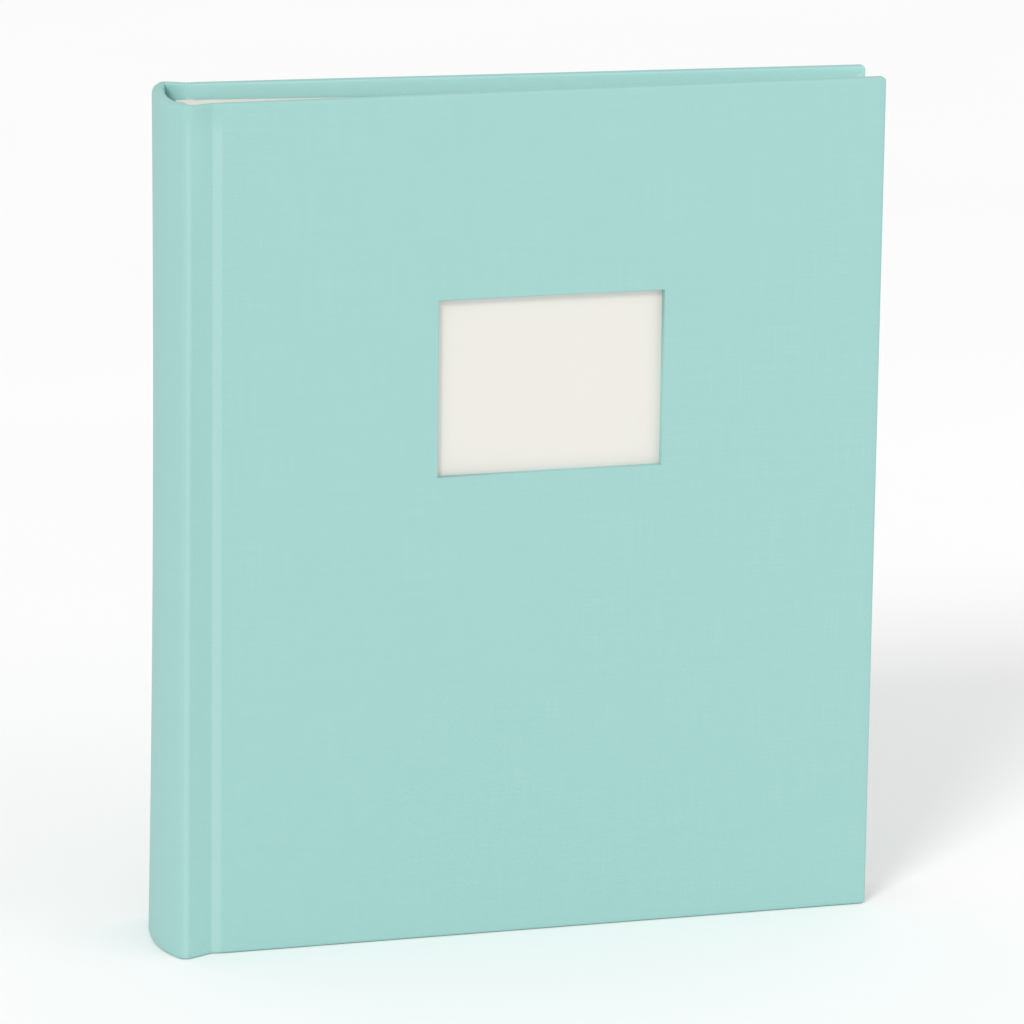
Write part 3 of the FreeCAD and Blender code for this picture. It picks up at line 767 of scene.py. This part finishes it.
def add_leaf(node, leaf_material, interleaf_material, block, bound_x, bend):
    """One card leaf and its interleaf, from the bound edge to the fore-edge."""
    start, end = centre_line(node, block.leaf)
    bound = carried_back(start, end, bound_x)
    low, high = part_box("leaf_margins")[0].z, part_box("leaf_margins")[1].z
    stops = bend_stops(bound, bend[0], bend[1], block.bend_steps)
    card = strip_between(node + "_card", leaf_material, bound, end, low, high, block.leaf, stops,
                         block.sag)
    way = (end - bound).normalized()
    behind = Vector((-way.y, way.x, 0.0)) * (block.leaf / 2 + block.interleaf_gap + block.interleaf / 2)
    inset = block.interleaf_inset
    paper = strip_between(
        node + "_interleaf", interleaf_material, bound + behind, end + behind - way * inset,
        low + inset, high - inset, block.interleaf, stops, block.sag)
    for piece in (card, paper):
        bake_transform(piece, "spine", node, start=(bend[0], 0, 0), end=(bend[1], 0, 0))
    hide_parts(node)
    return card


def add_flyleaf(side, material, block, bound_x, bend):
    """A free endpaper with its tipped margin."""
    node = side + "_flyleaf"
    start, end = centre_line(node, block.paper)
    bound = carried_back(start, end, bound_x)
    low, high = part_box(node)[0].z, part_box(node)[1].z
    stops = bend_stops(bound, bend[0], bend[1], block.bend_steps)
    sheet = strip_between(node + "_sheet", material, bound, end, low, high, block.paper, stops,
                          block.sag)
    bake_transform(sheet, "spine", node, start=(bend[0], 0, 0), end=(bend[1], 0, 0))
    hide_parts(node, node + "_margin")


def add_endpaper_fold(side, material, block, cover, case):
    """The part of the endpaper that crosses the joint, from the pastedown to the free leaf."""
    node = side + "_flyleaf_margin"
    low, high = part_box(node)
    mirror = 1.0 if side == "front" else -1.0
    inner = case.wrap + block.paper / 2
    path = [cover.at(along, inner + deeper) for along, deeper in FOLD_ON_COVER]
    path += [Vector((low.x + from_edge, cover.at(along, inner).y + deeper, 0.0))
             for from_edge, along, deeper in FOLD_ON_BLOCK]
    bm = bmesh.new()
    verts = [bm.verts.new(Vector((path[0].x, path[0].y, z))) for z in (low.z, high.z)]
    edges = [bm.edges.new(verts)]
    for before, point in zip(path, path[1:]):
        grown = bmesh.ops.extrude_edge_only(bm, edges=edges)["geom"]
        edges = [g for g in grown if isinstance(g, bmesh.types.BMEdge)]
        moved = list({v for e in edges for v in e.verts})
        bmesh.ops.translate(bm, vec=point - before, verts=moved)
    bmesh.ops.scale(bm, vec=(1, mirror, 1), verts=bm.verts)
    for face in bm.faces:
        face.smooth = True
    fold = new_piece(side + "_endpaper_fold", bm, material)
    shell = fold.modifiers.new("thickness", "SOLIDIFY")
    shell.thickness, shell.offset = block.paper, 0.0
    y = path[0].y * mirror
    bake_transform(fold, "spine", side + "_cover", start=(low.x, y, 0), end=(cover.corner.x, y, 0))


# ------------------------------------------------------------------ operators

class ALBUM_OT_case_cloth(bpy.types.Operator):
    """Covers the boards and the spine in book cloth"""
    bl_idname = "album.case_cloth"
    bl_label = "Case cloth"

    def execute(self, context):
        case = context.scene.album_case
        finish = context.scene.album_finish
        # Bands of painted light: paler cloth on the joint's flap, and a painted highlight on the ridge and
        # the shoulder.
        joint = Fold(-4.4 * MM, 4.6 * MM, 0.15, finish.cloth_painted_light)
        ridge = Fold(case.ridge / 2 - 0.2 * MM, case.ridge / 2 + 0.5 * MM, 0.8, finish.cloth_painted_highlight)
        shoulder = Fold(-9.7 * MM, 0.9 * MM, 0.6, finish.cloth_painted_highlight)
        folds_end = Cover(case).high - 3.0 * MM
        material = book_cloth(finish, (joint, ridge, shoulder), folds_end)
        for side in ("front", "back"):
            piece, cover = case_cloth(side + "_case_cloth", side, material)
            y = cover.corner.y * (1 if side == "front" else -1)
            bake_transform(piece, "spine", side + "_cover",
                     start=(cover.corner.x - JOINT_BEND[0], y, 0),
                     end=(cover.corner.x - JOINT_BEND[1], y, 0))
            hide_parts(side + "_cloth")
            if side == "back":
                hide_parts("spine_cloth")
            wide = cover.long + case.turn_in + case.wrap + SPINE_RUN
            tall = cover.high + 2 * (case.turn_in + case.wrap)
            area = wide * tall
            if side == "front":
                area -= 4 * cover.window_half[0] * cover.window_half[1]
        return {"FINISHED"}


class ALBUM_OT_boards(bpy.types.Operator):
    """Finishes the boards, the spine inlay and the window's backing card"""
    bl_idname = "album.boards"
    bl_label = "Boards and card"

    def execute(self, context):
        finish = context.scene.album_finish
        grey = fibrous("greyboard", finish.board, darker(finish.board, 0.72), 0.5, 0.3)
        for node in ("front_board", "back_board"):
            dress(node, grey)
        inlay = spine_inlay(
            "spine_inlay_card",
            fibrous("inlay_card", finish.inlay, darker(finish.inlay, 0.8), 0.6, 0.25))
        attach(inlay, "spine")
        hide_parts("spine_inlay")
        dress("window_card", fibrous("window_card", finish.card, darker(finish.card, 0.975), 1.2, 0.06))
        return {"FINISHED"}


class ALBUM_OT_endpapers(bpy.types.Operator):
    """Adds the free endpapers and folds, and finishes the pastedowns"""
    bl_idname = "album.endpapers"
    bl_label = "Endpapers"

    def execute(self, context):
        finish, case, block = (
            context.scene.album_finish, context.scene.album_case, context.scene.album_block)
        paper = fibrous("endpaper", finish.endpaper, darker(finish.endpaper, 0.94), 1.0, 0.12)
        bound_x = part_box("leaf_margins")[0].x
        bend = (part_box("guards")[1].x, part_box("leaf_01")[0].x)
        cover = Cover(case)
        for side in ("front", "back"):
            dress(side + "_pastedown", paper)
            add_flyleaf(side, paper, block, bound_x, bend)
            add_endpaper_fold(side, paper, block, cover, case)
        return {"FINISHED"}


class ALBUM_OT_leaves(bpy.types.Operator):
    """Adds the card leaves, each with its interleaf"""
    bl_idname = "album.leaves"
    bl_label = "Leaves"

    def execute(self, context):
        finish, block = context.scene.album_finish, context.scene.album_block
        leaf_card = fibrous("leaf_card", finish.leaf, darker(finish.leaf, 0.92), 0.9, 0.2)
        interleaf = glassine(finish)
        bound_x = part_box("leaf_margins")[0].x
        bend = (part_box("guards")[1].x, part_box("leaf_01")[0].x)
        for node in LEAF_NAMES:
            card = add_leaf(node, leaf_card, interleaf, block, bound_x, bend)
        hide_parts("leaf_margins")
        return {"FINISHED"}


class ALBUM_OT_block_back(bpy.types.Operator):
    """Finishes the guards, and the gauze and paper on the block's back"""
    bl_idname = "album.block_back"
    bl_label = "Block back"

    def execute(self, context):
        finish = context.scene.album_finish
        guard_card, guard_dark = darker(finish.leaf, 0.96), darker(finish.leaf, 0.86)
        dress("guards", fibrous("guard_card", guard_card, guard_dark, 0.9, 0.2))
        dress("spine_mull", gauze(finish))
        dress("spine_lining", fibrous("kraft_lining", finish.kraft, darker(finish.kraft, 0.85), 0.7, 0.2))
        return {"FINISHED"}


class ALBUM_OT_stage(bpy.types.Operator):
    """Sets the floor, the lights and the camera"""
    bl_idname = "album.stage"
    bl_label = "Stage"

    def execute(self, context):
        scene = context.scene
        bm = bmesh.new()
        bmesh.ops.create_grid(bm, x_segments=1, y_segments=1, size=6.0)
        bmesh.ops.translate(bm, vec=(0, 0, -0.1 * MM), verts=bm.verts)
        floor = new_piece("studio_floor", bm, studio_floor(scene.album_finish))

        world = bpy.data.worlds.get("studio") or bpy.data.worlds.new("studio")
        world.use_nodes = True
        world.node_tree.nodes["Background"].inputs["Color"].default_value = (1.0, 1.0, 1.0, 1.0)
        world.node_tree.nodes["Background"].inputs["Strength"].default_value = 0.79
        scene.world = world

        for name, kind, place, power, extent, size in (
            ("key", "SUN", (-0.95, -1.25, 1.30), 1.10, "angle", math.radians(16.0)),
            ("fill", "AREA", (1.50, -1.60, 0.90), 5.0, "size", 1.2),
        ):
            lamp = bpy.data.lights.new(name, kind)
            lamp.energy = power
            setattr(lamp, extent, size)
            light = bpy.data.objects.new(name, lamp)
            scene.collection.objects.link(light)
            light.location = place
            aim = AIM - Vector(place)
            light.rotation_euler = aim.to_track_quat("-Z", "Y").to_euler()

        self.add_camera(scene)
        scene.view_settings.view_transform = "Standard"
        scene.view_settings.look = "None"
        return {"FINISHED"}

    def add_camera(self, scene):
        turn, rise, roll = math.radians(-14.765), math.radians(13.838), math.radians(0.736)
        target, distance = Vector((0.28 * MM, 0.0, 125.45 * MM)), 1939.2 * MM
        back = Vector((math.sin(turn) * math.cos(rise), -math.cos(turn) * math.cos(rise), math.sin(rise)))
        level = Vector((math.cos(turn), math.sin(turn), 0.0))
        upright = back.cross(level)
        right = math.cos(roll) * level + math.sin(roll) * upright
        up = -math.sin(roll) * level + math.cos(roll) * upright
        data = bpy.data.cameras.new("camera")
        data.lens, data.sensor_width = 229.16, 36.0
        data.clip_end = 20.0
        camera = bpy.data.objects.new("camera", data)
        m = Matrix.Identity(4)
        m.col[0][:3], m.col[1][:3], m.col[2][:3] = right, up, back
        m.col[3][:3] = target + back * distance
        camera.matrix_world = m
        scene.collection.objects.link(camera)
        scene.camera = camera


class ALBUM_PT_panel(bpy.types.Panel):
    """Lists the album's sizes, finishes and steps"""
    bl_label = "Scrapbook album"
    bl_space_type = "VIEW_3D"
    bl_region_type = "UI"
    bl_category = "Album"

    def draw(self, context):
        for group in ("album_case", "album_block", "album_finish"):
            settings = getattr(context.scene, group)
            box = self.layout.box()
            for name in settings.__annotations__:
                box.prop(settings, name)
        for operator in OPERATORS:
            self.layout.operator(operator.bl_idname)


SETTINGS = (
    ("album_case", AlbumCaseSettings),
    ("album_block", AlbumBlockSettings),
    ("album_finish", AlbumFinishSettings),
)
OPERATORS = (
    ALBUM_OT_case_cloth, ALBUM_OT_boards, ALBUM_OT_endpapers, ALBUM_OT_leaves, ALBUM_OT_block_back,
    ALBUM_OT_stage,
)


def register():
    for name, group in SETTINGS:
        bpy.utils.register_class(group)
        setattr(bpy.types.Scene, name, PointerProperty(type=group))
    for cls in OPERATORS + (ALBUM_PT_panel,):
        bpy.utils.register_class(cls)


def unregister():
    for cls in (ALBUM_PT_panel,) + OPERATORS[::-1]:
        bpy.utils.unregister_class(cls)
    for name, group in reversed(SETTINGS):
        delattr(bpy.types.Scene, name)
        bpy.utils.unregister_class(group)


def main():
    register()
    for step in ("case_cloth", "boards", "endpapers", "leaves", "block_back", "stage"):
        getattr(bpy.ops.album, step)()
    bpy.context.view_layer.update()


if __name__ == "__main__":
    main()
